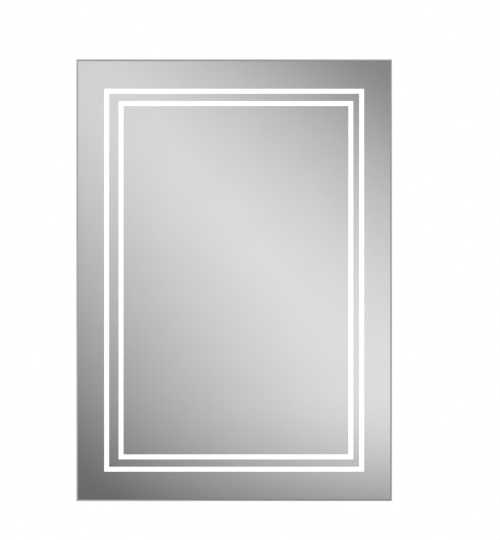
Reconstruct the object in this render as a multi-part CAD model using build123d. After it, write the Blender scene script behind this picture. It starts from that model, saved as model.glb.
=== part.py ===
from build123d import *
import os
from math import atan2, degrees, pi, radians, tan

# Lighted mirror cabinet: an aluminium wall cabinet with two glass shelves behind one mirrored door
# that holds two ring lights. Millimetres, +Z up. The wall is the plane y = 0 and the door faces -Y.
# The origin is the centre of the four wall screws, level with the middle of the door.

# Door outline and glass
door_width = 500.0
door_height = 700.0
door_thickness = 26.0
glass_thickness = 5.0
bevel_width = 2.0
bevel_depth = 1.0
silver_thickness = 0.3
rear_mirror_thickness = 3.0

# Light bands: margins from the glass edge, lit width, and the gaps between the two rings
band_margin_side = 44.0
band_margin_end = 46.5
band_width = 7.5
band_gap_side = 12.5
band_gap_end = 12.0
inner_band_shift = 2.8
channel_lap = 2.25
channel_wall = 1.2
diffuser_thickness = 3.0
diffuser_clearance = 0.1
strip_width = 7.0
strip_thickness = 1.0
chip_length = 3.5
chip_width = 2.8
chip_height = 0.8
chip_spacing = 33.3
pad_width = 260.0
pad_height = 360.0
pad_thickness = 0.5

# Door frame
frame_inset = 1.0
frame_wall = 1.8
frame_rear_flange = 15.0
frame_front_flange = 10.0
frame_corner_radius = 2.0
hinge_flange_border = 5.0
mirror_lap = 4.0
mirror_edge_gap = 0.5
key_leg = 32.0
key_width = 6.0
key_clearance = 0.2

# Cabinet shell
cabinet_depth = 115.0
door_gap = 3.0
side_overhang = 2.0
finger_grip = 12.0
profile_build = 16.0
profile_wall = 2.0
profile_edge_radius = 1.0
lip_height = 8.0
lip_width = 2.0
liner_thickness = 2.0
wall_recess = 14.0
back_panel_thickness = 3.0
panel_edge_gap = 0.5
side_panel_screws = 4
end_panel_screws = 2
interior_mirror_thickness = 3.0
bracket_leg = 40.0
bracket_thickness = 3.0
bracket_depth = 18.0
bracket_front_setback = 15.0
bracket_rear_setback = 32.0
grub_reach = 28.0
grub_radius = 2.0
grub_length = 4.5

# Wall fixing
wall_screw_side_inset = 70.0
wall_screw_end_inset = 100.0
wall_hole_radius = 3.25
rail_end = 20.0
rail_thickness = 2.0
rail_plate_height = 30.0
rail_hook_reach = 8.0
rail_lip_height = 10.0
rail_clearance = 0.3
hanger_lift = 2.0
hanger_screws = 4
hanger_screw_rise = 6.5
spacer_radius = 8.0
spacer_chamfer = 0.8

# Shelves and pegs
shelf_thickness = 5.0
shelf_depth = 76.0
shelf_end_gap = 3.0
shelf_back_gap = 4.0
shelf_rest_gap = 0.3
shelf_corner = 4.0
shelf_chamfer = 0.5
peg_spacing = 32.0
peg_rows = 6
upper_shelf_row = 3
lower_shelf_row = -4
peg_setback = 10.0
peg_radius = 2.5
peg_hole_clearance = 0.05
peg_embed = 4.0
peg_collar_radius = 4.0
peg_collar = 1.2
peg_tongue = 9.0
peg_tongue_width = 6.0
peg_tongue_corner = 2.4

# Hinges
hinge_spacing = 430.0
pivot_inset = 8.0
pivot_depth = 12.0
pin_radius = 2.0
pin_fit = 0.02
eye_fit = 0.06
eye_radius = 3.6
arm_thickness = 3.0
arm_bend = 2.2
arm_corner = 5.0
arm_width = 14.0
arm_seat = 44.0
cup_edge = 3.2
cup_length = 35.8
cup_width = 20.0
cup_depth = 18.0
cup_wall = 1.0
cup_flange_thickness = 1.0
cup_flange_height = 52.0
cup_flange_start = 8.0
cup_flange_corner = 5.0
cup_screw_spacing = 38.0
cup_screw_offset = 3.0
cup_screw_bite = 2.0
cup_clearance = 0.2
plate_thickness = 5.0
plate_height = 44.0
plate_length = 46.0
plate_screw_spacing = 30.0
plate_setback = 5.0
plate_corner = 5.0
plate_chamfer = 0.8

# Door stops and catches
bumper_radius = 4.0
bumper_round = 1.4
stop_gap = 0.4
bumper_end_inset = 26.0
catch_spacing = 400.0
catch_height = 36.0
catch_width = 8.0
catch_depth = 16.0
catch_clearance = 0.1
catch_side_gap = 1.0
catch_corner = 1.0
strike_thickness = 1.0
strike_width = 12.0
strike_height = 40.0
strike_corner = 2.5

# Electrics compartment across the top, with its driver, terminals and grommets
cover_height = 38.0
cover_setback = 14.0
cover_sheet = 1.2
cover_flange = 9.0
cover_bend = 0.8
cover_end_gap = 0.5
cover_screws = 4
vent_count = 11
vent_spacing = 9.0
vent_width = 3.0
vent_height = 18.0
driver_length = 160.0
driver_width = 46.0
driver_height = 24.0
driver_tab = 12.0
driver_tab_thickness = 2.0
driver_tab_width = 22.0
driver_corner = 3.0
driver_back_gap = 9.0
driver_centre_x = -110.0
terminal_length = 22.0
terminal_pole = 8.0
terminal_height = 16.0
terminal_poles = 3
terminal_entry_radius = 2.4
terminal_entry_depth = 7.0
terminal_gap = 50.0
grommet_bore = 4.0
grommet_neck = 6.5
grommet_flange_radius = 9.0
grommet_flange = 2.0
grommet_round = 0.9
grommet_x = 37.0
lead_radius = 1.4
lead_grommet_inset = 13.0
lead_grommet_setback = 13.0
lead_grommet_radius = 5.0
lead_grommet_neck = 3.5
lead_grommet_flange = 1.5
lead_grommet_boss = 1.8

# Lead fittings on the door
elbow_inset = 38.0
elbow_drop = 12.0
elbow_width = 10.0
elbow_height = 16.0
elbow_reach = 10.5
elbow_axis_reach = 6.0
elbow_neck = 3.4
elbow_corner = 3.0
connector_width = 13.0
connector_height = 24.0
connector_depth = 8.0
connector_offset = 5.5
feed_wire_radius = 0.9
feed_wire_setback = 2.5

# Hand-wave switch under the bottom edge
sensor_side_inset = 82.0
sensor_setback = 55.0
sensor_length = 56.0
sensor_width = 22.0
sensor_height = 9.0
lens_radius = 5.0
lens_proud = 0.6
lens_round = 0.5
lens_clearance = 0.2
tape_width = 5.0
tape_thickness = 0.8
tape_clearance = 0.3

# Screws: shank and head radius, head height, and the clearance of a hole round a shank
screw_radius = 1.6
screw_head_radius = 3.2
screw_head_height = 1.6
screw_head_round = 0.9
hole_clearance = 0.15
thread_clearance = 0.02

# Planes that the pieces share
BASE = (Align.CENTER, Align.CENTER, Align.MIN)
BACKWARD = (0, 1, 0)
FORWARD = (0, -1, 0)
wall_screw_spacing_x = door_width - 2 * wall_screw_side_inset
wall_screw_spacing_z = door_height - 2 * wall_screw_end_inset
rail_length = wall_screw_spacing_x + 2 * rail_end
half_width = door_width / 2
half_height = door_height / 2
front_y = -cabinet_depth
door_back_y = front_y - door_gap
door_front_y = door_back_y - door_thickness
silver_y = door_front_y + glass_thickness
frame_front_y = silver_y + silver_thickness
recess_y = -wall_recess
panel_y = recess_y - back_panel_thickness
interior_y = panel_y - interior_mirror_thickness
shell_x = half_width - side_overhang
shell_top = half_height
shell_bottom = -half_height + finger_grip
shell_mid = (shell_top + shell_bottom) / 2
inner_x = shell_x - profile_build
inner_top = shell_top - profile_build
inner_bottom = shell_bottom + profile_build
pivot_x = -half_width + pivot_inset
pivot_y = door_back_y - pivot_depth
cover_z = inner_top - cover_height
cover_y = front_y + cover_setback
cover_floor = cover_z + cover_sheet
lead_grommet_x = -inner_x + lead_grommet_inset
lead_grommet_y = cover_y + lead_grommet_setback
elbow_x = -half_width + elbow_inset
elbow_z = cover_z - elbow_drop
sensor_x = inner_x - sensor_side_inset
sensor_y = front_y + sensor_setback
terminal_x = driver_centre_x + driver_length / 2 + terminal_gap
hinge_flange_reach = cup_edge + cup_length + hinge_flange_border
hinge_heights = [hinge_spacing / 2, -hinge_spacing / 2]
shelf_heights = {"upper": upper_shelf_row * peg_spacing, "lower": lower_shelf_row * peg_spacing}


def block(x_span, y_span, z_span):
    """Box between a low and a high value on each axis."""
    spans = (x_span, y_span, z_span)
    middle = [(low + high) / 2 for low, high in spans]
    size = [abs(high - low) for low, high in spans]
    return Pos(*middle) * Box(*size)


def around(middle, size):
    """Span of a given size about its middle."""
    return (middle - size / 2, middle + size / 2)


def rod(radius, start, direction, length):
    """Round bar from a point along a direction."""
    return Plane(origin=start, z_dir=direction) * Cylinder(radius, length, align=BASE)


def screw(start, direction, length):
    """Pan-head screw with a cross recess; start is the middle of the seat under its head."""
    shank = Cylinder(screw_radius, length, align=BASE)
    head = Pos(0, 0, -screw_head_height) * Cylinder(screw_head_radius, screw_head_height, align=BASE)
    head = fillet(head.edges().sort_by(Axis.Z)[0], screw_head_round)
    slot_size = (screw_head_radius, screw_radius / 3, screw_head_height)
    slot = Pos(0, 0, -screw_head_height) * Box(*slot_size)
    recess = slot + Rot(0, 0, 90) * slot
    return Plane(origin=start, z_dir=direction) * (shank + head - recess)


def outline(points):
    """Flat face from its corner points."""
    return make_face(Polyline(*points, close=True))


def folded_sheet(corners, thickness, inner_bend, x_span):
    """Sheet metal along X, folded where its middle line turns in the YZ plane."""
    middle_line = FilletPolyline(*corners, radius=inner_bend + thickness / 2)
    section = Plane.YZ * trace(middle_line, thickness)
    low, high = x_span
    return Pos(low, 0, 0) * extrude(section, high - low)


def mitred_bar(section, reach, length, turn):
    """One side of a picture frame: its section drawn at the left, mitred at both ends, then turned."""
    depth = section.bounding_box().max.X
    span = section.bounding_box().size.Y
    bar = extrude(Pos(-reach, 0) * section, length / 2, both=True)
    far = length / 2
    trapezoid = [(-reach, -far), (-reach, far), (-reach + depth, far - depth), (-reach + depth, depth - far)]
    middle_y = section.bounding_box().center().Y
    prism = Pos(0, middle_y, 0) * extrude(Plane.XZ * outline(trapezoid), span, both=True)
    return Rot(0, turn, 0) * (bar & prism)


def picture_frame(section, width, height, middle_z=0.0):
    """Four mitred bars by side name, round a rectangle of that outer size."""
    place = Pos(0, 0, middle_z)
    return {
        "left": place * mitred_bar(section, width / 2, height, 0),
        "top": place * mitred_bar(section, height / 2, width, 90),
        "right": place * mitred_bar(section, width / 2, height, 180),
        "bottom": place * mitred_bar(section, height / 2, width, -90),
    }


def ring(width, height, band, y_span, shift=0.0):
    """Flat rectangular ring of a given band width."""
    outer = block(around(shift, width), y_span, around(0, height))
    return outer - block(around(shift, width - 2 * band), y_span, around(0, height - 2 * band))


def lead(name, points):
    """Round lead: straight runs joined by arcs as large as the shorter run beside each turn allows."""
    path_points = [Vector(*p) for p in points]
    runs = [b - a for a, b in zip(path_points, path_points[1:])]
    radii = []
    for before, after in zip(runs, runs[1:]):
        half_turn = radians(before.get_angle(after)) / 2
        radii.append(0.45 * min(before.length, after.length) / tan(half_turn))
    path = FilletPolyline(*path_points, radius=radii)
    tube = sweep(Plane(origin=path @ 0, z_dir=path % 0) * Circle(lead_radius), path=path)
    drawn = pi * lead_radius**2 * path.length
    print(name, "length", round(path.length, 1), "radii", [round(r, 1) for r in radii])
    print(name, "volume", round(tube.volume, 2), "of", round(drawn, 2))
    return tube


def spread(low, high, count):
    """Even places along a stretch, each in the middle of its own share."""
    return [low + (number + 0.5) * (high - low) / count for number in range(count)]


os.makedirs("parts", exist_ok=True)
nodes = {}


# Cabinet shell

def shell_section():
    """Aluminium profile: outer wall, front flange with a lip behind the liner, rear flange for the panel."""
    build, wall = profile_build, profile_wall
    lip_start = build - liner_thickness - lip_width
    lip_end = build - liner_thickness
    points = [
        (0, 0), (wall, 0),
        (wall, recess_y + wall), (build, recess_y + wall), (build, recess_y), (wall, recess_y),
        (wall, front_y + wall), (lip_start, front_y + wall), (lip_start, front_y + wall + lip_height),
        (lip_end, front_y + wall + lip_height), (lip_end, front_y + wall),
        (build, front_y + wall), (build, front_y), (0, front_y),
    ]
    face = outline(points)
    outer_corners = face.vertices().filter_by(lambda v: v.X < wall / 2)
    return fillet(outer_corners, profile_edge_radius)


def panel_screw_places():
    """Back panel screws, in the middle of the rear flange all round."""
    flange_middle = (profile_wall + profile_build) / 2
    side = shell_x - flange_middle
    places = []
    for z in spread(shell_bottom, shell_top, side_panel_screws):
        places += [(-side, z), (side, z)]
    for x in spread(-shell_x, shell_x, end_panel_screws):
        places += [(x, shell_top - flange_middle), (x, shell_bottom + flange_middle)]
    return places


def drill_y(solid, radius, places, y_span):
    """Cuts round holes along Y at (x, z) places."""
    low, high = min(y_span), max(y_span)
    for x, z in places:
        solid = solid - rod(radius, (x, low, z), BACKWARD, high - low)
    return solid


def catch_spans(middle_z):
    """Room of one magnet catch, as x, y and z spans."""
    outer = shell_x - profile_wall - catch_side_gap
    x = (outer - catch_width, outer)
    face = door_back_y + strike_thickness + stop_gap
    return x, (face, face + catch_depth), around(middle_z, catch_height)


def shell_profiles():
    width, height = 2 * shell_x, shell_top - shell_bottom
    sides = picture_frame(shell_section(), width, height, shell_mid)
    flange = (recess_y, recess_y + profile_wall)
    for side, bar in sides.items():
        sides[side] = drill_y(bar, screw_radius + hole_clearance, panel_screw_places(), flange)
    for z in (catch_spacing / 2, -catch_spacing / 2):
        x, y, tall = catch_spans(z)
        grow = catch_clearance
        slot = block((x[0] - grow, x[1] + grow), y, (tall[0] - grow, tall[1] + grow))
        sides["right"] = sides["right"] - slot
    lens_hole = rod(lens_radius + lens_clearance, (sensor_x, sensor_y, shell_bottom), (0, 0, 1), profile_wall)
    sides["bottom"] = sides["bottom"] - lens_hole
    nodes["side_profile_left"] = sides["left"]
    nodes["side_profile_right"] = sides["right"]
    nodes["top_profile"] = sides["top"]
    nodes["bottom_profile"] = sides["bottom"]


def corner_brackets():
    """Angle brackets inside each corner of the shell, each with two grub screws."""
    reach_x, reach_top, reach_bottom = (shell_x - profile_wall, shell_top - profile_wall,
                                        shell_bottom + profile_wall)
    brackets, screws = [], []
    setbacks = (bracket_front_setback, cabinet_depth - bracket_rear_setback - bracket_depth)
    for sx in (-1, 1):
        for corner_z, sz in ((reach_top, -1), (reach_bottom, 1)):
            for setback in setbacks:
                y = (front_y + setback, front_y + setback + bracket_depth)
                x = sx * reach_x
                upright = block(sorted((x, x - sx * bracket_thickness)), y,
                                sorted((corner_z, corner_z + sz * bracket_leg)))
                level = block(sorted((x, x - sx * bracket_leg)), y,
                              sorted((corner_z, corner_z + sz * bracket_thickness)))
                middle_y = sum(y) / 2
                side_grub = (x, middle_y, corner_z + sz * grub_reach), (-sx, 0, 0)
                end_grub = (x - sx * grub_reach, middle_y, corner_z), (0, 0, sz)
                bracket = upright + level
                for place, direction in (side_grub, end_grub):
                    bracket = bracket - rod(grub_radius + thread_clearance, place, direction,
                                            bracket_thickness)
                    screws.append(rod(grub_radius, place, direction, grub_length))
                brackets.append(bracket)
    nodes["corner_brackets"] = Compound(children=brackets)
    nodes["corner_grub_screws"] = Compound(children=screws)


def shelf_front():
    return interior_y - shelf_back_gap - shelf_depth


def peg_columns():
    """Front and rear peg positions along Y."""
    return (shelf_front() + peg_setback, interior_y - shelf_back_gap - peg_setback)


def liners():
    """Thin inner walls; the side ones are drilled for the shelf pegs."""
    y = (front_y + profile_wall, panel_y)
    side_z = (inner_bottom, inner_top)
    for side, sign in (("left", -1), ("right", 1)):
        liner = block(sorted((sign * inner_x, sign * (inner_x + liner_thickness))), y, side_z)
        for row in range(-peg_rows, peg_rows + 1):
            for column in peg_columns():
                start = (sign * inner_x, column, row * peg_spacing)
                hole = rod(peg_radius + peg_hole_clearance, start, (sign, 0, 0), liner_thickness)
                liner = liner - hole
        nodes[f"side_liner_{side}"] = liner
    for column_z in hinge_heights:
        for z in around(column_z, plate_screw_spacing):
            start = (-inner_x, plate_middle_y(), z)
            nodes["side_liner_left"] -= rod(screw_radius + thread_clearance, start, (-1, 0, 0),
                                            liner_thickness)
    slot = block((inner_x, inner_x + liner_thickness), around(sensor_y, tape_width + 2 * tape_clearance),
                 (cover_floor - tape_clearance, cover_floor + tape_thickness + tape_clearance))
    nodes["side_liner_right"] -= slot
    x = (-inner_x - liner_thickness, inner_x + liner_thickness)
    top = block(x, y, (inner_top, inner_top + liner_thickness))
    for x_screw in cover_screw_places():
        start = (x_screw, cover_y - cover_flange / 2, inner_top)
        top = top - rod(screw_radius + thread_clearance, start, (0, 0, 1), liner_thickness)
    nodes["top_liner"] = top
    nodes["bottom_liner"] = block(x, y, (inner_bottom - liner_thickness, inner_bottom))


def back_panel():
    edge_x = shell_x - profile_wall - panel_edge_gap
    edge_z = (shell_bottom + profile_wall + panel_edge_gap, shell_top - profile_wall - panel_edge_gap)
    panel = block((-edge_x, edge_x), (panel_y, recess_y), edge_z)
    panel = drill_y(panel, screw_radius + thread_clearance, panel_screw_places(), (panel_y, recess_y))
    panel = drill_y(panel, screw_radius + thread_clearance, hanger_screw_places(), (panel_y, recess_y))
    panel = drill_y(panel, wall_hole_radius, lower_wall_screws(), (panel_y, recess_y))
    panel = drill_y(panel, grommet_neck, [mains_place()], (panel_y, recess_y))
    nodes["back_panel"] = panel
    length = profile_wall + back_panel_thickness
    screws = [screw((x, recess_y + profile_wall, z), FORWARD, length) for x, z in panel_screw_places()]
    nodes["back_panel_screws"] = Compound(children=screws)
    mirror = block((-inner_x, inner_x), (interior_y, panel_y), (inner_bottom, inner_top))
    mirror = drill_y(mirror, wall_hole_radius, lower_wall_screws(), (interior_y, panel_y))
    nodes["interior_mirror"] = drill_y(mirror, grommet_neck, [mains_place()], (interior_y, panel_y))


# Wall fixing

def lower_wall_screws():
    return [(sign * wall_screw_spacing_x / 2, -wall_screw_spacing_z / 2) for sign in (-1, 1)]


def hanger_screw_places():
    z = wall_screw_spacing_z / 2 + hanger_screw_rise
    return [(x, z) for x in spread(-rail_length / 2, rail_length / 2, hanger_screws)]


def wall_rails():
    """Rail screwed to the wall, and the hanger rail on the cabinet that hooks over its lip."""
    x = (-rail_length / 2, rail_length / 2)
    screw_z = wall_screw_spacing_z / 2
    top = screw_z + rail_plate_height / 2
    half = rail_thickness / 2
    lip_y = -rail_hook_reach + half
    hook_low = top + rail_thickness
    rail = folded_sheet([
        (-half, top - rail_plate_height), (-half, top + half), (lip_y, top + half),
        (lip_y, hook_low + rail_lip_height),
    ], rail_thickness, rail_clearance, x)
    upper = [(sign * wall_screw_spacing_x / 2, screw_z) for sign in (-1, 1)]
    nodes["wall_rail"] = drill_y(rail, wall_hole_radius, upper, (-rail_thickness, 0))

    hook_y = lip_y + rail_thickness + rail_clearance
    bridge_z = hook_low + rail_lip_height + hanger_lift + half
    hanger = folded_sheet([
        (recess_y + half, screw_z), (recess_y + half, bridge_z), (hook_y, bridge_z), (hook_y, hook_low),
    ], rail_thickness, rail_clearance, x)
    places = hanger_screw_places()
    nodes["hanger_rail"] = drill_y(hanger, screw_radius + hole_clearance, places,
                                   (recess_y, recess_y + rail_thickness))
    seat_y = recess_y + rail_thickness
    length = rail_thickness + back_panel_thickness
    screws = [screw((px, seat_y, pz), FORWARD, length) for px, pz in places]
    nodes["hanger_rail_screws"] = Compound(children=screws)

    spacers = []
    for px, pz in lower_wall_screws():
        spacer = rod(spacer_radius, (px, recess_y, pz), BACKWARD, wall_recess)
        spacer = chamfer(spacer.faces().sort_by(Axis.Y)[-1].edges(), spacer_chamfer)
        spacers.append(spacer - rod(wall_hole_radius, (px, recess_y, pz), BACKWARD, wall_recess))
    nodes["wall_spacers"] = Compound(children=spacers)


# Electrics compartment

def mains_place():
    return (grommet_x, cover_z + cover_height / 2)


def cover_screw_places():
    return spread(-inner_x, inner_x, cover_screws)


def driver_spans():
    back = interior_y - driver_back_gap
    return (around(driver_centre_x, driver_length), (back - driver_width, back),
            (cover_floor, cover_floor + driver_height))


def driver_screw_places():
    x, y, _ = driver_spans()
    return [(x[0] - driver_tab / 2, sum(y) / 2), (x[1] + driver_tab / 2, sum(y) / 2)]


def electrics_cover():
    """Folded sheet tray under the top liner that hides the driver and terminals."""
    edge = inner_x - cover_end_gap
    half = cover_sheet / 2
    cover = folded_sheet([
        (interior_y, cover_z + half), (cover_y + half, cover_z + half), (cover_y + half, inner_top - half),
        (cover_y - cover_flange, inner_top - half),
    ], cover_sheet, cover_bend, (-edge, edge))
    for number in range(vent_count):
        vent_x = driver_centre_x + (number - (vent_count - 1) / 2) * vent_spacing
        vent_z = around((cover_z + inner_top) / 2, vent_height)
        cover = cover - block(around(vent_x, vent_width), (cover_y, cover_y + cover_sheet), vent_z)
    seat_z = inner_top - cover_sheet
    screws = []
    for px in cover_screw_places():
        place = (px, cover_y - cover_flange / 2, seat_z)
        cover = cover - rod(screw_radius + hole_clearance, place, (0, 0, 1), cover_sheet)
        screws.append(screw(place, (0, 0, 1), cover_sheet + liner_thickness))
    for px, py in driver_screw_places():
        cover = cover - rod(screw_radius + thread_clearance, (px, py, cover_z), (0, 0, 1), cover_sheet)
    place = (lead_grommet_x, lead_grommet_y, cover_z)
    nodes["electrics_cover"] = cover - rod(lead_grommet_neck, place, (0, 0, 1), cover_sheet)
    nodes["electrics_cover_screws"] = Compound(children=screws)


def electrics():
    x, y, z = driver_spans()
    case = fillet(block(x, y, z).edges().filter_by(Axis.Z), driver_corner)
    tabs = block((x[0] - driver_tab, x[1] + driver_tab), around(sum(y) / 2, driver_tab_width),
                 (cover_floor, cover_floor + driver_tab_thickness))
    driver = case + tabs
    seat_z = cover_floor + driver_tab_thickness
    length = driver_tab_thickness + cover_sheet
    screws = []
    for px, py in driver_screw_places():
        driver = driver - rod(screw_radius + hole_clearance, (px, py, cover_floor), (0, 0, 1),
                              driver_tab_thickness)
        screws.append(screw((px, py, seat_z), (0, 0, -1), length))
    nodes["led_driver"] = driver
    nodes["driver_screws"] = Compound(children=screws)

    block_y = around(sum(y) / 2, terminal_poles * terminal_pole)
    block_x = (terminal_x, terminal_x + terminal_length)
    body = block(block_x, block_y, (cover_floor, cover_floor + terminal_height))
    for pole in range(terminal_poles):
        pole_y = block_y[0] + (pole + 0.5) * terminal_pole
        entry_z = cover_floor + terminal_height / 2
        body = body - rod(terminal_entry_radius, (block_x[1], pole_y, entry_z), (-1, 0, 0),
                          terminal_entry_depth)
        body = body - rod(terminal_entry_radius, (sum(block_x) / 2, pole_y, cover_floor + terminal_height),
                          (0, 0, -1), terminal_height / 4)
    nodes["terminal_block"] = body

    gx, gz = mains_place()
    grommet = rod(grommet_neck, (gx, interior_y, gz), BACKWARD, recess_y - interior_y)
    for seat_y, direction, outer in ((recess_y, BACKWARD, -1), (interior_y, FORWARD, 0)):
        flange = rod(grommet_flange_radius, (gx, seat_y, gz), direction, grommet_flange)
        rim = flange.faces().sort_by(Axis.Y)[outer].edges()
        grommet = grommet + fillet(rim, grommet_round)
    bore_length = recess_y - interior_y + 2 * grommet_flange
    nodes["mains_grommet"] = grommet - rod(grommet_bore, (gx, interior_y - grommet_flange, gz), BACKWARD,
                                           bore_length)


def lead_grommet():
    """Strain relief where the door lead leaves the compartment."""
    place = (lead_grommet_x, lead_grommet_y, cover_z)
    flange = rod(lead_grommet_radius, place, (0, 0, -1), lead_grommet_flange)
    neck = rod(lead_grommet_neck, place, (0, 0, 1), cover_sheet + lead_grommet_boss)
    nodes["lead_grommet"] = flange + neck


def leads():
    """The lead from terminals to driver, the one from driver to grommet, and the loop to the door."""
    x, y, z = driver_spans()
    exit_y = sum(y) / 2
    exit_z = z[0] + driver_height / 2
    entry_z = cover_floor + terminal_height / 2
    nodes["supply_lead"] = lead("supply_lead", [
        (x[1], exit_y, exit_z),
        (x[1] + 14, exit_y, exit_z),
        (terminal_x - 18, exit_y, entry_z),
        (terminal_x, exit_y, entry_z),
    ])

    grommet_top = cover_floor + lead_grommet_boss
    gx, gy = lead_grommet_x, lead_grommet_y
    nodes["cabinet_lead"] = lead("cabinet_lead", [
        (x[0], exit_y, exit_z),
        (x[0] - 14, exit_y, exit_z),
        (gx + 3, exit_y - 9, exit_z + 7),
        (gx, gy + 15, grommet_top + 19),
        (gx, gy, grommet_top + 14),
        (gx, gy, grommet_top),
    ])

    start = Vector(gx, gy, cover_z - lead_grommet_flange)
    end = Vector(elbow_x, door_back_y + elbow_axis_reach, elbow_z - elbow_height / 2)
    across = Vector(end.X - start.X, end.Y - start.Y, 0)
    span = across.length
    loop = [(0, 0), (0, 12.5), (-2, 26.5), (2, 39.5), (span / 2 - 0.5, 46), (span - 3, 40.5),
            (span, start.Z - end.Z + 11), (span, start.Z - end.Z)]
    route = [start + across * (along / span) - Vector(0, 0, drop) for along, drop in loop]
    nodes["door_lead"] = lead("door_lead", [tuple(p) for p in route])


def switch():
    """Hand-wave switch above the bottom edge, its lens, and its flat tape lead in the side profile."""
    z = shell_bottom + profile_wall
    nodes["sensor_module"] = block(around(sensor_x, sensor_length), around(sensor_y, sensor_width),
                                   (z, z + sensor_height))
    lens = rod(lens_radius, (sensor_x, sensor_y, shell_bottom - lens_proud), (0, 0, 1),
               profile_wall + lens_proud)
    nodes["sensor_lens"] = fillet(lens.edges().sort_by(Axis.Z)[0], lens_round)
    tape_y = around(sensor_y, tape_width)
    outer = shell_x - profile_wall
    floor = block((sensor_x + sensor_length / 2, outer), tape_y, (z, z + tape_thickness))
    rise = block((outer - tape_thickness, outer), tape_y, (z, cover_floor + tape_thickness))
    level = block((terminal_x + terminal_length, outer), tape_y, (cover_floor, cover_floor + tape_thickness))
    nodes["sensor_tape_lead"] = floor + rise + level


# Hinges

def plate_front_y():
    return front_y + profile_wall + plate_setback


def plate_middle_y():
    return plate_front_y() + plate_length / 2


def hinges():
    arms, plates, cups, pins, plate_screws, cup_screws = [], [], [], [], [], []
    arm_x = (-inner_x + plate_thickness, -inner_x + plate_thickness + arm_thickness)
    arm_back = plate_front_y() + arm_seat
    for z in hinge_heights:
        width = around(z, arm_width)
        leg = block((pivot_x, arm_x[1]), (pivot_y - arm_thickness, pivot_y), width)
        tail = block(arm_x, (pivot_y - arm_thickness, arm_back), width)
        tail = fillet(tail.edges().filter_by(Axis.X).sort_by(Axis.Y)[-2:], arm_corner)
        strip = leg + tail
        bend = strip.edges().filter_by(Axis.Z).sort_by(lambda edge: edge.center().X - edge.center().Y)[-1]
        strip = fillet(bend, arm_bend)
        eye = rod(eye_radius, (pivot_x, pivot_y, width[0]), (0, 0, 1), arm_width)
        bore = rod(pin_radius + eye_fit, (pivot_x, pivot_y, width[0]), (0, 0, 1), arm_width)
        arm_screw = (arm_x[1], plate_middle_y(), z)
        shank = rod(screw_radius + hole_clearance, arm_screw, (-1, 0, 0), arm_thickness)
        arms.append(strip + eye - bore - shank)

        plate = block((-inner_x, arm_x[0]), (plate_front_y(), plate_front_y() + plate_length),
                      around(z, plate_height))
        plate = fillet(plate.edges().filter_by(Axis.X), plate_corner)
        plate = chamfer(plate.faces().sort_by(Axis.X)[-1].edges(), plate_chamfer)
        plate = plate - rod(screw_radius + thread_clearance, (arm_x[0], plate_middle_y(), z),
                            (-1, 0, 0), plate_thickness)
        plate_screws.append(screw(arm_screw, (-1, 0, 0), arm_thickness + plate_thickness))
        for plate_z in around(z, plate_screw_spacing):
            place = (arm_x[0], plate_middle_y(), plate_z)
            plate = plate - rod(screw_radius + hole_clearance, place, (-1, 0, 0), plate_thickness)
            plate_screws.append(screw(place, (-1, 0, 0), plate_thickness + liner_thickness))
        plates.append(plate)

        x = (-half_width + cup_edge, -half_width + cup_edge + cup_length)
        y = (door_back_y - cup_depth, door_back_y)
        body = block(x, y, around(z, cup_width))
        flange = block((-half_width + cup_flange_start, x[1] - cup_wall),
                       (door_back_y, door_back_y + cup_flange_thickness), around(z, cup_flange_height))
        flange = fillet(flange.edges().filter_by(Axis.Y), cup_flange_corner)
        pocket = block((x[0] + cup_wall, x[1] - cup_wall),
                       (y[0] + cup_wall, door_back_y + cup_flange_thickness),
                       around(z, cup_width - 2 * cup_wall))
        pin_place = (pivot_x, pivot_y, z - cup_width / 2)
        cup = body + flange - pocket - rod(pin_radius + pin_fit, pin_place, (0, 0, 1), cup_width)
        for px, pz in cup_screw_places(z):
            place = (px, door_back_y + cup_flange_thickness, pz)
            cup = cup - rod(screw_radius + hole_clearance, place, FORWARD, cup_flange_thickness)
            cup_screws.append(screw(place, FORWARD, cup_flange_thickness + frame_wall + cup_screw_bite))
        cups.append(cup)
        pins.append(rod(pin_radius, pin_place, (0, 0, 1), cup_width))
    nodes["hinge_arms"] = Compound(children=arms)
    nodes["hinge_plates"] = Compound(children=plates)
    nodes["hinge_plate_screws"] = Compound(children=plate_screws)
    nodes["hinge_cups"] = Compound(children=cups)
    nodes["hinge_pins"] = Compound(children=pins)
    nodes["hinge_cup_screws"] = Compound(children=cup_screws)


def cup_screw_places(middle_z):
    x = -half_width + cup_edge + cup_length / 2 + cup_screw_offset
    return [(x, z) for z in around(middle_z, cup_screw_spacing)]


# Shelves, catches and bumpers

def shelves():
    for name, peg_z in shelf_heights.items():
        bottom = peg_z + peg_radius + shelf_rest_gap
        x = (-inner_x + shelf_end_gap, inner_x - shelf_end_gap)
        y = (shelf_front(), interior_y - shelf_back_gap)
        glass = block(x, y, (bottom, bottom + shelf_thickness))
        glass = fillet(glass.edges().filter_by(Axis.Z), shelf_corner)
        rims = glass.faces().filter_by(Axis.Z).edges()
        nodes[f"glass_shelf_{name}"] = chamfer(rims, shelf_chamfer)


def shelf_pegs():
    pegs = []
    for z in shelf_heights.values():
        for sign in (-1, 1):
            for y in peg_columns():
                tip = inner_x - peg_collar - peg_tongue
                shaft = rod(peg_radius, (sign * (inner_x - peg_collar), y, z), (sign, 0, 0),
                            peg_collar + peg_embed)
                collar = rod(peg_collar_radius, (sign * (inner_x - peg_collar), y, z), (sign, 0, 0),
                             peg_collar)
                tongue = block(sorted((sign * (inner_x - peg_collar), sign * tip)),
                               around(y, peg_tongue_width), around(z, 2 * peg_radius))
                tip_edges = tongue.edges().filter_by(Axis.Z).sort_by(lambda edge: abs(edge.center().X))[:2]
                tongue = fillet(tip_edges, peg_tongue_corner)
                pegs.append(shaft + collar + tongue)
    nodes["shelf_pegs"] = Compound(children=pegs)


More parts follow.
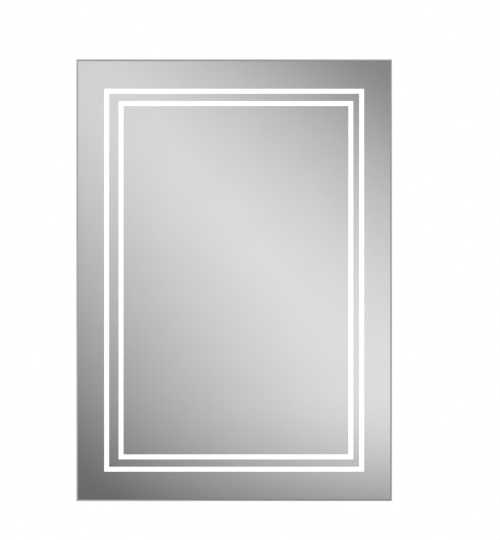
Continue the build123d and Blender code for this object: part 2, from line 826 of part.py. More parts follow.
def catches():
    magnets, strikes, bumpers = [], [], []
    for z in (catch_spacing / 2, -catch_spacing / 2):
        x, y, tall = catch_spans(z)
        magnet = block(x, y, tall)
        magnets.append(fillet(magnet.faces().sort_by(Axis.Y)[0].edges(), catch_corner))
        strike = block(around(sum(x) / 2, strike_width), (door_back_y, door_back_y + strike_thickness),
                       around(z, strike_height))
        strikes.append(fillet(strike.edges().filter_by(Axis.Y), strike_corner))
    bumper_x = shell_x - profile_build / 2
    for z in (shell_top - bumper_end_inset, shell_bottom + bumper_end_inset):
        bumper = rod(bumper_radius, (bumper_x, front_y, z), FORWARD, door_gap - stop_gap)
        bumpers.append(fillet(bumper.faces().sort_by(Axis.Y)[0].edges(), bumper_round))
    nodes["magnet_catches"] = Compound(children=magnets)
    nodes["strike_plates"] = Compound(children=strikes)
    nodes["door_bumpers"] = Compound(children=bumpers)


# Door

def frame_section():
    """Door edge profile: outer wall, front flange on the glass, rear flange round the rear mirror."""
    wall = frame_wall
    points = [
        (0, frame_front_y), (frame_front_flange, frame_front_y),
        (frame_front_flange, frame_front_y + wall), (wall, frame_front_y + wall),
        (wall, door_back_y - wall), (frame_rear_flange, door_back_y - wall),
        (frame_rear_flange, door_back_y), (0, door_back_y),
    ]
    face = outline(points)
    rear_corner = face.vertices().filter_by(lambda v: v.X < wall / 2 and v.Y > door_back_y - wall / 2)
    return fillet(rear_corner, frame_corner_radius)


def door_frame():
    width, height = door_width - 2 * frame_inset, door_height - 2 * frame_inset
    sides = picture_frame(frame_section(), width, height)
    left = sides["left"]
    reach_z = height / 2 - frame_rear_flange
    left = left + block((-width / 2 + frame_rear_flange, -half_width + hinge_flange_reach),
                        (door_back_y - frame_wall, door_back_y), (-reach_z, reach_z))
    grow = cup_clearance
    for z in hinge_heights:
        left = left - block((-half_width + cup_edge - grow, -half_width + cup_edge + cup_length + grow),
                            (door_back_y - frame_wall, door_back_y), around(z, cup_width + 2 * grow))
        left = drill_y(left, screw_radius + thread_clearance, cup_screw_places(z),
                       (door_back_y - frame_wall, door_back_y))
    left = drill_y(left, elbow_neck, [(elbow_x, elbow_z)], (door_back_y - frame_wall, door_back_y))
    sides["left"] = left
    for side in sides:
        nodes[f"door_frame_{side}"] = sides[side]

    keys = []
    out_x = width / 2 - frame_wall - key_clearance
    out_z = height / 2 - frame_wall - key_clearance
    y = (frame_front_y + frame_wall + key_clearance, door_back_y - frame_wall - rear_mirror_thickness
         - key_clearance)
    for sx in (-1, 1):
        for sz in (-1, 1):
            upright = block(sorted((sx * out_x, sx * (out_x - key_width))), y,
                            sorted((sz * out_z, sz * (out_z - key_leg))))
            level = block(sorted((sx * out_x, sx * (out_x - key_leg))), y,
                          sorted((sz * out_z, sz * (out_z - key_width))))
            keys.append(upright + level)
    nodes["door_corner_keys"] = Compound(children=keys)


def door_glass():
    """Front glass with a bevelled edge; its silver layer is cut away where the bands shine through."""
    flat = block(around(0, door_width), (door_front_y + bevel_depth, silver_y), around(0, door_height))
    bevel_angle = degrees(atan2(bevel_width, bevel_depth))
    bevel_plane = Plane(origin=(0, door_front_y + bevel_depth, 0), x_dir=(1, 0, 0), z_dir=FORWARD)
    face = bevel_plane * Rectangle(door_width, door_height)
    nodes["mirror_glass"] = flat + extrude(face, bevel_depth, taper=bevel_angle)

    y = (silver_y, frame_front_y)
    outer, inner = band_sizes()
    silver = block(around(0, door_width), y, around(0, door_height))
    silver = silver - ring(*outer, band_width, y)
    nodes["silver_backing"] = silver - ring(*inner, band_width, y, inner_band_shift)

    mirror_y = (door_back_y - frame_wall - rear_mirror_thickness, door_back_y - frame_wall)
    edge = frame_inset + frame_wall + mirror_edge_gap
    rear = block((-half_width + hinge_flange_reach - mirror_lap, half_width - edge), mirror_y,
                 (-half_height + edge, half_height - edge))
    nodes["rear_mirror"] = rear


def band_sizes():
    """Outer width and height of the outer and of the inner light band."""
    outer = (door_width - 2 * band_margin_side, door_height - 2 * band_margin_end)
    step_x = 2 * (band_width + band_gap_side)
    step_z = 2 * (band_width + band_gap_end)
    return outer, (outer[0] - step_x, outer[1] - step_z)


def strip_chips(width, height, base_y, shift):
    """LED chips in even steps along the four strips of one ring."""
    chips = []
    for length, across, turned in ((width, height, False), (height, width, True)):
        count = int(length / chip_spacing)
        for number in range(count):
            along = (number - (count - 1) / 2) * chip_spacing
            for sign in (-1, 1):
                x, z = (sign * across / 2, along) if turned else (along, sign * across / 2)
                size_x, size_z = (chip_width, chip_length) if turned else (chip_length, chip_width)
                chips.append(block(around(x + shift, size_x), (base_y - chip_height, base_y),
                                   around(z, size_z)))
    return chips


def light_ring(name, size, shift):
    """One light: a U-shaped channel ring, the LED strip on its floor and the opal diffuser in its mouth."""
    width, height = size[0] + 2 * channel_lap, size[1] + 2 * channel_lap
    breadth = band_width + 2 * channel_lap
    floor_y = door_back_y - frame_wall - rear_mirror_thickness
    inset = channel_wall
    channel = ring(width, height, breadth, (frame_front_y, floor_y), shift)
    hollow = ring(width - 2 * inset, height - 2 * inset, breadth - 2 * inset,
                  (frame_front_y, floor_y - channel_wall), shift)
    nodes[f"led_channel_{name}"] = channel - hollow

    inset = channel_wall + diffuser_clearance
    nodes[f"diffuser_{name}"] = ring(width - 2 * inset, height - 2 * inset, breadth - 2 * inset,
                                     (frame_front_y, frame_front_y + diffuser_thickness), shift)

    strip_y = floor_y - channel_wall
    inset = (breadth - strip_width) / 2
    strip = ring(width - 2 * inset, height - 2 * inset, strip_width, (strip_y - strip_thickness, strip_y),
                 shift)
    chips = strip_chips(width - breadth, height - breadth, strip_y - strip_thickness, shift)
    nodes[f"led_strip_{name}"] = Compound(children=[strip] + chips)


def door_lights():
    outer, inner = band_sizes()
    light_ring("outer", outer, 0.0)
    light_ring("inner", inner, inner_band_shift)
    nodes["demister_pad"] = block(around(inner_band_shift, pad_width),
                                  (frame_front_y, frame_front_y + pad_thickness), around(0, pad_height))


def lead_fittings():
    """Elbow where the lead meets the door, and the connector behind it."""
    x = around(elbow_x, elbow_width)
    body = block(x, (door_back_y, door_back_y + elbow_reach), around(elbow_z, elbow_height))
    body = fillet(body.faces().sort_by(Axis.Y)[-1].edges().filter_by(Axis.X), elbow_corner)
    neck = rod(elbow_neck, (elbow_x, door_back_y, elbow_z), FORWARD, frame_wall)
    nodes["lead_elbow"] = body + neck
    inner_face = door_back_y - frame_wall
    nodes["door_connector"] = block(around(elbow_x - connector_offset, connector_width),
                                    (inner_face - connector_depth, inner_face),
                                    around(elbow_z, connector_height))


def feed_wires():
    """Short wires from the connector to the outer light, on to the inner light, and on to the heater pad."""
    outer, inner = band_sizes()
    breadth = band_width + 2 * channel_lap
    outer_left = -outer[0] / 2 - channel_lap
    inner_left = inner_band_shift - inner[0] / 2 - channel_lap
    connector_side = elbow_x - connector_offset + connector_width / 2
    channel_y = door_back_y - frame_wall - rear_mirror_thickness - feed_wire_setback
    pad_y = frame_front_y + feed_wire_radius
    wires = []
    for x, y, z in (
        ((connector_side, outer_left), channel_y, elbow_z),
        ((outer_left + breadth, inner_left), channel_y, elbow_z - connector_height),
        ((inner_left + breadth, inner_band_shift - pad_width / 2), pad_y, 0),
    ):
        wires.append(rod(feed_wire_radius, (x[0], y, z), (1, 0, 0), x[1] - x[0]))
    nodes["feed_wires"] = Compound(children=wires)


shell_profiles()
corner_brackets()
liners()
back_panel()
wall_rails()
electrics_cover()
electrics()
lead_grommet()
leads()
switch()
hinges()
shelves()
shelf_pegs()
catches()
door_frame()
door_glass()
door_lights()
lead_fittings()
feed_wires()

for name, shape in nodes.items():
    export_step(shape, f"parts/{name}.step")
print(len(nodes), "nodes")
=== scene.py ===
"""Lighted mirror cabinet: materials, glass, leads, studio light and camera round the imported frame."""
import math

import bmesh
import bpy
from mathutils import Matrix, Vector


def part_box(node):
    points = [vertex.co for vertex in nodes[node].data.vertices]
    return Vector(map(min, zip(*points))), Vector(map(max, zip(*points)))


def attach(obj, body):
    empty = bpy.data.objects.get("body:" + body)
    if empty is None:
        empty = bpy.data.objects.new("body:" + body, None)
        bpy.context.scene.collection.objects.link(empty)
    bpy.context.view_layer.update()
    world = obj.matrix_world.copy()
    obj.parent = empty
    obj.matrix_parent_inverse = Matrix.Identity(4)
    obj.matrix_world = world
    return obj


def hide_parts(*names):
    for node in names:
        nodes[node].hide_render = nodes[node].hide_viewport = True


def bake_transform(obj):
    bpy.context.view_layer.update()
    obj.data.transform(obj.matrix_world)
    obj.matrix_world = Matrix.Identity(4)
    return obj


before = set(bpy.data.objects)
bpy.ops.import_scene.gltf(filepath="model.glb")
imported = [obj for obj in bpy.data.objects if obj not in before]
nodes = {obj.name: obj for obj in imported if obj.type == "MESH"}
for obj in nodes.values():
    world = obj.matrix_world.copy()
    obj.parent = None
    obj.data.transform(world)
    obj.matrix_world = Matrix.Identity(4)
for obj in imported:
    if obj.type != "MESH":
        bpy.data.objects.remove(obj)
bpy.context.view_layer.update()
MM = 0.001
MICRON = 0.000001
WHITE = (1, 1, 1, 1)

# Camera: level, square to the door, a little right of and above its middle, as in the photograph
GLASS_FRONT = -144 * MM
CAMERA_X = 25.1 * MM
CAMERA_Z = 16.2 * MM
CAMERA_DISTANCE = 3.0
PHOTO_HEIGHT = 855.5 * MM
SENSOR = 36.0


def photo_camera():
    """The camera in the photograph's place, with colours shown as they are written."""
    data = bpy.data.cameras.new("camera")
    data.sensor_width = SENSOR
    data.lens = SENSOR * CAMERA_DISTANCE / PHOTO_HEIGHT
    camera = bpy.data.objects.new("camera", data)
    camera.location = (CAMERA_X, GLASS_FRONT - CAMERA_DISTANCE, CAMERA_Z)
    camera.rotation_euler = (math.pi / 2, 0, 0)
    bpy.context.scene.collection.objects.link(camera)
    bpy.context.scene.camera = camera
    bpy.context.scene.view_settings.view_transform = "Standard"


photo_camera()


# Materials

NOISE_RANGE = (0.3, 0.7)  # most of a noise texture's values lie between these
BEVEL_SAMPLES = 4


class Graph:
    """A node tree with short calls for the nodes in it."""

    def __init__(self, tree):
        self.tree = tree

    def add(self, kind, inputs=None, **settings):
        """A node with its settings, and each input either linked or set."""
        node = self.tree.nodes.new(kind)
        for name, value in settings.items():
            setattr(node, name, value)
        for name, value in (inputs or {}).items():
            if isinstance(value, bpy.types.NodeSocket):
                self.tree.links.new(value, node.inputs[name])
            else:
                node.inputs[name].default_value = value
        return node

    def calc(self, operation, *values, clamp=False):
        """The result of one sum on numbers or sockets."""
        inputs = dict(enumerate(values))
        return self.add("ShaderNodeMath", inputs, operation=operation, use_clamp=clamp).outputs[0]

    def place(self, stretch=(1, 1, 1)):
        """Position on the object in metres, squeezed along each axis by a factor."""
        source = self.add("ShaderNodeTexCoord").outputs["Object"]
        return self.add("ShaderNodeMapping", {"Vector": source, "Scale": stretch}).outputs[0]

    def noise(self, scale, detail=3.0, stretch=(1, 1, 1), roughness=0.55):
        """Cloudy noise on the object, finer as the scale grows."""
        return self.add("ShaderNodeTexNoise", {
            "Vector": self.place(stretch), "Scale": scale, "Detail": detail, "Roughness": roughness,
        }).outputs["Fac"]

    def span(self, value, low, high, source=NOISE_RANGE):
        """The value, taken from one range to another."""
        return self.add("ShaderNodeMapRange", {
            "Value": value, "From Min": source[0], "From Max": source[1], "To Min": low, "To Max": high,
        }).outputs[0]

    def smooth(self, value, start, end):
        """From 0 to 1 as the value goes from start to end, with soft ends."""
        return self.add("ShaderNodeMapRange", {"Value": value, "From Min": start, "From Max": end},
                        interpolation_type="SMOOTHSTEP").outputs[0]

    def length(self, vector):
        """The length of a vector."""
        return self.add("ShaderNodeVectorMath", {0: vector}, operation="LENGTH").outputs["Value"]

    def tint(self, value, first, second):
        """A colour between two, by the value."""
        node = self.add("ShaderNodeMix", {"Factor": value}, data_type="RGBA")
        node.inputs["A"].default_value = (*first, 1)
        node.inputs["B"].default_value = (*second, 1)
        return node.outputs["Result"]

    def bump(self, height, distance, edge=0.0):
        """Fine relief over edges that are rounded by a radius."""
        inputs = {"Height": height, "Distance": distance}
        if edge:
            inputs["Normal"] = self.add("ShaderNodeBevel", {"Radius": edge}, samples=BEVEL_SAMPLES).outputs[0]
        return self.add("ShaderNodeBump", inputs).outputs[0]


def material(name, **sockets):
    """A material with its principled shader's sockets set, and the graph that feeds it."""
    made = bpy.data.materials.new(name)
    made.use_nodes = True
    graph = Graph(made.node_tree)
    shader = made.node_tree.nodes["Principled BSDF"]
    for socket, value in sockets.items():
        key = socket.replace("_", " ")
        if isinstance(value, tuple):
            value = (*value, 1)
        shader.inputs[key].default_value = value
    return made, graph, shader


def feed(graph, shader, **sockets):
    """Links into the shader, one for each socket named."""
    for socket, value in sockets.items():
        graph.tree.links.new(value, shader.inputs[socket.replace("_", " ")])


# Noise scales are in cycles a metre, or nearly
ALONG_GRAIN = 0.005
GRAIN = {"x": (ALONG_GRAIN, 1, 1), "z": (1, 1, ALONG_GRAIN)}
STREAK_ROUGHNESS = 0.6
PATCH_SCALE = 9
ROUGH_DRIFT = (-0.03, 0.03)
MOTTLE_FINENESS = 9
SHADE_BREADTH = 40
SILVER_HAZE_SCALE = 14
SILVER_HAZE = (0.0, 0.012)
GLASS_HAZE_SCALE = 40
GLASS_TINT = (0.62, 0.86, 0.76, 1)
GLASS_IOR = 1.52
GROUND_SCALE = 5000
GROUND_DEPTH = 0.4 * MICRON
OPAL_SCALE = 900
OPAL_DARK = (0.86, 0.87, 0.88)
OPAL_LIGHT = (0.93, 0.94, 0.95)
OPAL_ROUGH = (0.35, 0.5)
OPAL_DEPTH = 5 * MICRON
OPAL_GLOW = 0.9
EDGE = 0.35 * MM


def brushed(name, grain, dark, light, rough=(0.24, 0.36), lines=3600, depth=2 * MICRON):
    """Metal drawn or brushed along one axis."""
    made, graph, shader = material(name, Metallic=1.0)
    streaks = graph.noise(lines, detail=4, stretch=GRAIN[grain], roughness=STREAK_ROUGHNESS)
    patches = graph.noise(PATCH_SCALE, detail=2, stretch=GRAIN[grain])
    feed(graph, shader,
         Base_Color=graph.tint(graph.span(streaks, 0, 1), dark, light),
         Roughness=graph.calc("ADD", graph.span(streaks, *rough), graph.span(patches, *ROUGH_DRIFT)),
         Normal=graph.bump(streaks, depth, EDGE))
    return made


def plated(name, dark, light, rough, mottle=260, depth=3 * MICRON):
    """Plated steel with a fine mottle and no grain."""
    made, graph, shader = material(name, Metallic=1.0)
    cloud = graph.noise(mottle, detail=4)
    fine = graph.noise(mottle * MOTTLE_FINENESS)
    feed(graph, shader,
         Base_Color=graph.tint(graph.span(cloud, 0, 1), dark, light),
         Roughness=graph.calc("ADD", graph.span(cloud, *rough), graph.span(fine, *ROUGH_DRIFT)),
         Normal=graph.bump(fine, depth, EDGE))
    return made


def moulded(name, dark, light, rough=(0.38, 0.5), grain=1400, depth=10 * MICRON):
    """Moulded plastic, rubber or a sprayed coat: a fine surface texture over a slight shade change."""
    made, graph, shader = material(name)
    fine = graph.noise(grain)
    broad = graph.noise(grain / SHADE_BREADTH, detail=2)
    feed(graph, shader,
         Base_Color=graph.tint(graph.span(broad, 0, 1), dark, light),
         Roughness=graph.span(fine, *rough),
         Normal=graph.bump(fine, depth, EDGE))
    return made


def silvered(name, dark, light):
    """Silvered glass seen from the front: a mirror with a trace of haze."""
    made, graph, shader = material(name, Metallic=1.0)
    haze = graph.noise(SILVER_HAZE_SCALE, detail=4)
    feed(graph, shader,
         Base_Color=graph.tint(graph.span(haze, 0, 1), dark, light),
         Roughness=graph.span(haze, *SILVER_HAZE))
    return made


def glass(name, rough, density):
    """Clear float glass with the faint green that shows at its edges."""
    made, graph, shader = material(name, Transmission_Weight=1.0, IOR=GLASS_IOR, Base_Color=(1, 1, 1))
    haze = graph.noise(GLASS_HAZE_SCALE)
    feed(graph, shader, Roughness=graph.span(haze, *rough))
    volume = graph.add("ShaderNodeVolumeAbsorption", {"Color": GLASS_TINT, "Density": density})
    output = made.node_tree.nodes["Material Output"]
    made.node_tree.links.new(volume.outputs[0], output.inputs["Volume"])
    return made


def ground_glass(name, dark, light, clear, rough):
    """The ground edge of a pane: satin, half clear, and greener than the pane."""
    made, graph, shader = material(name, Transmission_Weight=clear, IOR=GLASS_IOR)
    grain = graph.noise(GROUND_SCALE, detail=2)
    feed(graph, shader,
         Base_Color=graph.tint(graph.span(grain, 0, 1), dark, light),
         Roughness=graph.span(grain, *rough),
         Normal=graph.bump(grain, GROUND_DEPTH))
    return made


def lit_opal(name, strength):
    """Opal acrylic with light behind it."""
    made, graph, shader = material(name, Emission_Color=(1, 1, 1), Emission_Strength=strength)
    grain = graph.noise(OPAL_SCALE)
    feed(graph, shader,
         Base_Color=graph.tint(graph.span(grain, 0, 1), OPAL_DARK, OPAL_LIGHT),
         Roughness=graph.span(grain, *OPAL_ROUGH),
         Normal=graph.bump(grain, OPAL_DEPTH))
    return made


ALUMINIUM = ((0.73, 0.74, 0.75), (0.79, 0.80, 0.81))
LINER = ((0.72, 0.73, 0.74), (0.79, 0.80, 0.81))
LINER_FINISH = {"rough": (0.3, 0.42), "lines": 5000}
aluminium_up = brushed("anodised_up", "z", *ALUMINIUM)
aluminium_across = brushed("anodised_across", "x", *ALUMINIUM)
liner_up = brushed("liner_up", "z", *LINER, **LINER_FINISH)
liner_across = brushed("liner_across", "x", *LINER, **LINER_FINISH)

SLOTS = {
    "zinc_steel": plated("bright_zinc", (0.63, 0.65, 0.67), (0.72, 0.74, 0.75), rough=(0.26, 0.38)),
    "hinge_nickel": plated("bright_nickel", (0.66, 0.64, 0.60), (0.74, 0.72, 0.68), rough=(0.14, 0.22),
                           mottle=180, depth=1 * MICRON),
    "pin_metal": plated("peg_steel", (0.58, 0.58, 0.585), (0.66, 0.66, 0.665), rough=(0.26, 0.36)),
    "white_sheet": moulded("powder_coat", (0.79, 0.79, 0.785), (0.81, 0.81, 0.805), rough=(0.36, 0.5),
                           grain=900, depth=30 * MICRON),
    "panel_board": moulded("grey_lacquer", (0.49, 0.50, 0.51), (0.51, 0.52, 0.53), rough=(0.4, 0.55),
                           grain=700, depth=30 * MICRON),
    "silver_mirror": silvered("silvering", (0.915, 0.92, 0.92), (0.93, 0.935, 0.935)),
    "float_glass": glass("float_glass", rough=(0.0, 0.006), density=14.0),
    "opal_acrylic": lit_opal("lit_opal", OPAL_GLOW),
    "circuit_board": moulded("white_mask", (0.78, 0.79, 0.78), (0.84, 0.85, 0.84), rough=(0.3, 0.42)),
    "heater_film": moulded("heater_film", (0.55, 0.30, 0.07), (0.66, 0.38, 0.10), rough=(0.25, 0.35)),
    "white_plastic": moulded("white_plastic", (0.78, 0.78, 0.76), (0.83, 0.83, 0.81)),
    "grey_plastic": moulded("grey_plastic", (0.20, 0.205, 0.21), (0.25, 0.255, 0.26)),
    "black_rubber": moulded("black_rubber", (0.018, 0.018, 0.019), (0.03, 0.03, 0.031),
                            rough=(0.6, 0.75), grain=1100),
    "clear_bumper": moulded("clear_bumper", (0.80, 0.82, 0.82), (0.86, 0.88, 0.88), rough=(0.1, 0.2),
                            grain=300, depth=5 * MICRON),
    "sensor_red": moulded("sensor_red", (0.10, 0.006, 0.008), (0.14, 0.01, 0.012), rough=(0.06, 0.12),
                          grain=300, depth=2 * MICRON),
}
UPRIGHT = ("left", "right")


def finish_nodes():
    """Each CAD node's slots, filled with the materials above; metal grain runs along its profile."""
    for name, node in nodes.items():
        for index, old in enumerate(node.data.materials):
            slot = old.name.split(".")[0]
            if slot == "anodised_aluminium":
                new = aluminium_up if name.endswith(UPRIGHT) else aluminium_across
            elif slot == "liner_aluminium":
                new = liner_up if name.endswith(UPRIGHT) else liner_across
            else:
                new = SLOTS[slot]
            node.data.materials[index] = new


finish_nodes()


# Pieces

def show(name, mesh, *finishes):
    """A piece with its materials, linked to the scene."""
    piece = bpy.data.objects.new(name, mesh)
    for finish in finishes:
        mesh.materials.append(finish)
    bpy.context.scene.collection.objects.link(piece)
    return piece


def as_mesh(name, made):
    """A mesh from what was built, which is then freed."""
    mesh = bpy.data.meshes.new(name)
    made.to_mesh(mesh)
    made.free()
    return mesh


def pane(name, x, z, levels, finish, rim):
    """Flat glass whose ground edge follows levels of (inset, y)."""
    made = bmesh.new()
    loops = []
    for inset, y in levels:
        corners = ((x[0] + inset, z[0] + inset), (x[1] - inset, z[0] + inset),
                   (x[1] - inset, z[1] - inset), (x[0] + inset, z[1] - inset))
        loops.append([made.verts.new((cx, y, cz)) for cx, cz in corners])
    made.faces.new(loops[0])
    made.faces.new(reversed(loops[-1]))
    for back, front in zip(loops, loops[1:]):
        for i in range(4):
            j = (i + 1) % 4
            face = made.faces.new((back[i], back[j], front[j], front[i]))
            face.material_index = 1
    bmesh.ops.recalc_face_normals(made, faces=made.faces)
    return show(name, as_mesh(name, made), finish, rim)


SILVER_GAP = 0.03 * MM
ARRIS = 0.4 * MM
BEVEL_WIDTH = 2.0 * MM
BEVEL_DEPTH = 1.0 * MM


def door_mirror():
    """The door's glass, just clear of its silver, with a bevelled front and a fine arris at the back."""
    low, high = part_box("mirror_glass")
    back = high.y - SILVER_GAP
    levels = ((ARRIS, back), (0, back - ARRIS), (0, low.y + BEVEL_DEPTH), (BEVEL_WIDTH, low.y))
    clear = glass("mirror_pane", rough=(0.0, 0.004), density=5.0)
    rim = ground_glass("ground_bevel", (0.56, 0.59, 0.58), (0.60, 0.63, 0.62), clear=0.45, rough=(0.24, 0.32))
    mirror_pane = pane("mirror_pane", (low.x, high.x), (low.z, high.z), levels, clear, rim)
    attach(mirror_pane, "door")
    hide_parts("mirror_glass")


LEVEL_FACE = 0.9


def shelves():
    """The shelves keep the shape of their solids; their edges are ground."""
    rim = ground_glass("shelf_rim", (0.44, 0.60, 0.54), (0.50, 0.66, 0.60), clear=0.6, rough=(0.12, 0.18))
    for level in ("upper", "lower"):
        node = nodes["glass_shelf_" + level]
        mesh = node.data.copy()
        for face in mesh.polygons:
            face.material_index = 0 if abs(face.normal.z) > LEVEL_FACE else 1
        shelf = show("shelf_pane_" + level, mesh, rim)
        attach(shelf, "shelf_" + level)
        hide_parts(node.name)


def slab(made, low, high, rounding):
    """A block with softened edges, added to a mesh."""
    size = Vector(high) - Vector(low)
    corners = bmesh.ops.create_cube(made, size=1.0)["verts"]
    bmesh.ops.scale(made, vec=size, verts=corners)
    bmesh.ops.translate(made, vec=(Vector(low) + Vector(high)) / 2, verts=corners)
    edges = list({edge for vert in corners for edge in vert.link_edges})
    bmesh.ops.bevel(made, geom=edges, offset=rounding, segments=2, profile=0.5, affect="EDGES")


HALF_CATCH = 18 * MM
POLE_WIDTH = 1.4 * MM
POLE_LENGTH = 29 * MM
POLE_STEP = 4.4 * MM
POLE_PROUD = 0.15 * MM
POLE_ROUND = 0.12 * MM


def pole_strips():
    """The magnets' steel pole strips, a hair proud of their plastic blocks."""
    poles = bmesh.new()
    low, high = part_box("magnet_catches")
    middle = (low.x + high.x) / 2
    for z in (low.z + HALF_CATCH, high.z - HALF_CATCH):
        for side in (-1, 1):
            x = middle + side * POLE_STEP / 2
            slab(poles, (x - POLE_WIDTH / 2, low.y - POLE_PROUD, z - POLE_LENGTH / 2),
                 (x + POLE_WIDTH / 2, low.y + POLE_WIDTH, z + POLE_LENGTH / 2), POLE_ROUND)
    catch_poles = show("catch_poles", as_mesh("catch_poles", poles), SLOTS["zinc_steel"])
    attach(catch_poles, "cabinet")


# Leads: their routes in millimetres, as in the part's source
LEAD_RADIUS = 1.4 * MM
LEAD_START = Vector((-219, -88, 294.5))
LEAD_END = Vector((-212, -112, 276))
DRIVER_ROUTE = ((-190, -52, 309.2), (-204, -52, 309.2), (-216, -61, 316.2),
                (-219, -73, 318), (-219, -88, 313), (-219, -88, 299))
TERMINAL_ROUTE = ((-30, -52, 309.2), (-16, -52, 309.2), (2, -52, 305.2), (20, -52, 305.2))
TUBE_ROUNDNESS = 5
TUBE_STEPS = 12


def tube(name, points, radius, finish):
    """A smooth round lead through its route, as a mesh."""
    data = bpy.data.curves.new(name + "_route", "CURVE")
    data.dimensions = "3D"
    data.bevel_depth = radius
    data.bevel_resolution = TUBE_ROUNDNESS
    data.resolution_u = TUBE_STEPS
    data.use_fill_caps = True
    spline = data.splines.new("NURBS")
    spline.points.add(len(points) - 1)
    for point, place in zip(spline.points, points):
        point.co = (*(c * MM for c in place), 1)
    spline.order_u = 3
    spline.use_endpoint_u = True
    route = bpy.data.objects.new(name + "_route", data)
    mesh = bpy.data.meshes.new_from_object(route)
    mesh.name = name
    mesh.materials.clear()
    bpy.data.objects.remove(route)
    for face in mesh.polygons:
        face.use_smooth = True
    return show(name, mesh, finish)


def leads():
    """The lead that crosses to the door in a hanging loop, and the two in the electrics compartment."""
    sheath = moulded("lead_sheath", (0.74, 0.74, 0.72), (0.80, 0.80, 0.78), rough=(0.42, 0.55),
                     grain=1600, depth=8 * MICRON)
    across = Vector((LEAD_END.x - LEAD_START.x, LEAD_END.y - LEAD_START.y, 0))
    reach = across.length
    # How far along the way across, and how far below the start
    loop = ((0, 0), (0, 12.5), (-2, 26.5), (2, 39.5), (reach / 2 - 0.5, 46), (reach - 3, 40.5),
            (reach, 29.5), (reach, 18.5))
    route = [LEAD_START + across * (along / reach) - Vector((0, 0, drop)) for along, drop in loop]
    door_lead = tube("door_loop", route, LEAD_RADIUS, sheath)
    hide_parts("door_lead")
    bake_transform(door_lead)
    for name, node, points in (
        ("driver_lead", "cabinet_lead", DRIVER_ROUTE),
        ("terminal_lead", "supply_lead", TERMINAL_ROUTE),
    ):
        made = tube(name, points, LEAD_RADIUS, sheath)
        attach(made, "cabinet")
        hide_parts(node)


door_mirror()
shelves()
pole_strips()
leads()


# Studio: pale floor well below the cabinet, white round about, one broad soft lamp and a weaker one

FLOOR_Z = -0.78
FLOOR_RADIUS = 2.0
FLOOR_SIDES = 96
FLOOR_CLEAR_FROM = 0.25 * FLOOR_RADIUS
FLOOR_COLOUR = (0.82, 0.82, 0.82, 1)
FLOOR_LIFT = 0.22
LAMP_SIZE = 2.4


def studio_floor():
    """A pale disc that fades out with distance and is clear from below."""
    made = bmesh.new()
    bmesh.ops.create_circle(made, cap_ends=True, segments=FLOOR_SIDES, radius=FLOOR_RADIUS)
    mesh = as_mesh("floor", made)
    finish = bpy.data.materials.new("floor")
    finish.use_nodes = True
    tree = finish.node_tree
    tree.nodes.clear()
    graph = Graph(tree)
    ray = graph.add("ShaderNodeLightPath").outputs
    place = graph.add("ShaderNodeTexCoord").outputs["Object"]
    fade = graph.smooth(graph.length(place), FLOOR_CLEAR_FROM, FLOOR_RADIUS)
    seen = graph.calc("MAXIMUM", ray["Is Camera Ray"],
                      graph.calc("MAXIMUM", ray["Is Glossy Ray"], ray["Is Transmission Ray"]))
    shaded = graph.add("ShaderNodeBsdfDiffuse", {"Color": FLOOR_COLOUR}).outputs[0]
    strength = graph.calc("MULTIPLY", seen, FLOOR_LIFT)
    lift = graph.add("ShaderNodeEmission", {"Color": WHITE, "Strength": strength}).outputs[0]
    lit = graph.add("ShaderNodeAddShader", {0: shaded, 1: lift}).outputs[0]
    clear = graph.add("ShaderNodeBsdfTransparent").outputs[0]
    below = graph.add("ShaderNodeNewGeometry").outputs["Backfacing"]
    mixed = graph.add("ShaderNodeMixShader", {0: graph.calc("MAXIMUM", fade, below), 1: lit, 2: clear})
    graph.add("ShaderNodeOutputMaterial", {"Surface": mixed.outputs[0]})
    floor = show("floor", mesh, finish)
    floor.location = (0, 0, FLOOR_Z)


def lamp(name, place, power):
    """A broad soft lamp aimed at the cabinet. It isn't mirrored: mirrors show the world's sweep instead."""
    data = bpy.data.lights.new(name, "AREA")
    data.shape = "RECTANGLE"
    data.size = data.size_y = LAMP_SIZE
    data.energy = power
    made = bpy.data.objects.new(name, data)
    made.location = place
    made.rotation_euler = (-Vector(place)).to_track_quat("-Z", "Y").to_euler()
    bpy.context.scene.collection.objects.link(made)
    made.visible_camera = made.visible_glossy = made.visible_transmission = False


# World: white to the eye, a soft grey sweep to mirrors and glass, plain light to everything else.
# Straight ahead of the door the sweep is brightest along a slanting ridge and falls off above and below it.
WORLD_LEVEL = 0.78
DOOR_HALF = (0.25, 0.35)
LEAST_FORWARD = 0.04
SWEEP_BRIGHT = 0.785
SWEEP_DARKEST = 0.13
ABOVE = {"tilt": 0.56, "rise": 0.16, "fall": 0.36, "power": 1.58, "most": 1.29}
BELOW = {"tilt": 0.96, "rise": 0.29, "fall": 0.24, "power": 1.3, "most": 2.1}
MOST_SOFTNESS = 0.3
FOOT_START = -0.5
FOOT_FALL = 0.17
FOOT_POWER = 1.58
SWEEP_ENDS = (1.5, 4.0)
PANEL_TURN = {"X": 7.0, "Z": 9.0}
PANEL_START = 0.4
PANEL_SWING = 0.25
PANEL_MIDDLE = 0.62


def door_place(graph, way):
    """Where on the door the photograph's view mirrors a direction, from -1 at one edge to 1 at the other.

    The place is worked out from fixed numbers, so the sweep stays where it is in space as a view moves.
    """
    forward = graph.calc("MAXIMUM", graph.calc("MULTIPLY", way["Y"], -1.0), LEAST_FORWARD)
    return [graph.calc("MULTIPLY_ADD", graph.calc("DIVIDE", way[axis], forward),
                       CAMERA_DISTANCE / half, offset / half)
            for axis, half, offset in (("X", DOOR_HALF[0], CAMERA_X), ("Z", DOOR_HALF[1], CAMERA_Z))]


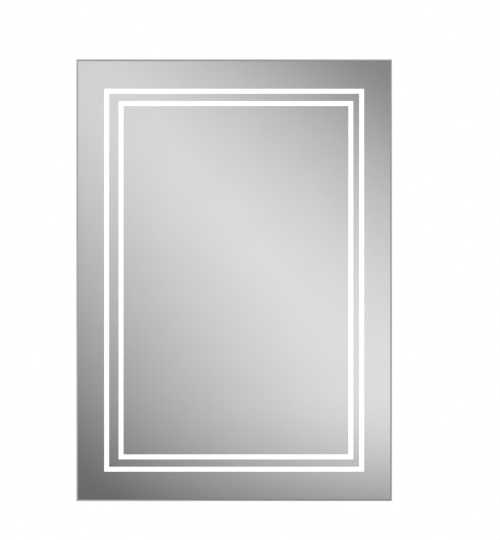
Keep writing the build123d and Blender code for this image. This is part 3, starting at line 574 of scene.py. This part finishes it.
def slope(graph, u, v, side, sign):
    """How much darker the sweep is on one side of its ridge, with a soft limit."""
    off = graph.calc("SUBTRACT", graph.calc("MULTIPLY_ADD", u, side["tilt"], v), side["rise"])
    beyond = graph.calc("MAXIMUM", graph.calc("MULTIPLY", off, sign), 0.0)
    beyond = graph.calc("MAXIMUM", graph.calc("SMOOTH_MIN", beyond, side["most"], MOST_SOFTNESS), 0.0)
    return graph.calc("MULTIPLY", graph.calc("POWER", beyond, side["power"]), side["fall"])


def grey_sweep(graph, u, v):
    """The sweep's brightness: the ridge, less its two slopes and a darker foot on the right."""
    foot = graph.calc("DIVIDE", graph.calc("SUBTRACT", FOOT_START, v), 1 + FOOT_START, clamp=True)
    foot = graph.calc("MULTIPLY", graph.calc("POWER", foot, FOOT_POWER), graph.calc("ADD", u, 1.0))
    foot = graph.calc("MAXIMUM", graph.calc("MULTIPLY", foot, FOOT_FALL), 0.0)
    slopes = graph.calc("ADD", slope(graph, u, v, ABOVE, 1.0), slope(graph, u, v, BELOW, -1.0))
    fall = graph.calc("ADD", slopes, foot)
    return graph.calc("MAXIMUM", graph.calc("SUBTRACT", SWEEP_BRIGHT, fall), SWEEP_DARKEST)


def grey_panels(graph, way):
    """All round, broad soft bands of lighter and darker grey, as from large studio panels."""
    turn = graph.calc("MULTIPLY_ADD", way["X"], PANEL_TURN["X"],
                      graph.calc("MULTIPLY_ADD", way["Z"], PANEL_TURN["Z"], PANEL_START))
    return graph.calc("MULTIPLY_ADD", graph.calc("SINE", turn), PANEL_SWING, PANEL_MIDDLE)


def studio_world():
    """The world's light, by what kind of ray asks for it."""
    world = bpy.data.worlds.new("studio")
    bpy.context.scene.world = world
    world.use_nodes = True
    tree = world.node_tree
    tree.nodes.clear()
    graph = Graph(tree)
    ray = graph.add("ShaderNodeLightPath").outputs
    direction = graph.add("ShaderNodeTexCoord").outputs["Generated"]
    way = graph.add("ShaderNodeSeparateXYZ", {0: direction}).outputs
    u, v = door_place(graph, way)
    off_centre = graph.add("ShaderNodeCombineXYZ", {"X": u, "Y": v}).outputs[0]
    mirrored = graph.add("ShaderNodeMix", {"Factor": graph.smooth(graph.length(off_centre), *SWEEP_ENDS)},
                         data_type="FLOAT")
    tree.links.new(grey_sweep(graph, u, v), mirrored.inputs["A"])
    tree.links.new(grey_panels(graph, way), mirrored.inputs["B"])
    glossy = graph.calc("MAXIMUM", ray["Is Glossy Ray"], ray["Is Transmission Ray"])
    strengths = (WORLD_LEVEL, mirrored.outputs["Result"], 1.0)
    plain, grey, white = (
        graph.add("ShaderNodeBackground", {"Color": WHITE, "Strength": strength}).outputs[0]
        for strength in strengths)
    first = graph.add("ShaderNodeMixShader", {0: glossy, 1: plain, 2: grey}).outputs[0]
    last = graph.add("ShaderNodeMixShader", {0: ray["Is Camera Ray"], 1: first, 2: white}).outputs[0]
    graph.add("ShaderNodeOutputWorld", {"Surface": last})


studio_floor()
lamp("key_lamp", (-1.6, -2.4, 1.9), power=30)
lamp("back_lamp", (1.5, 2.2, 1.6), power=16)
studio_world()
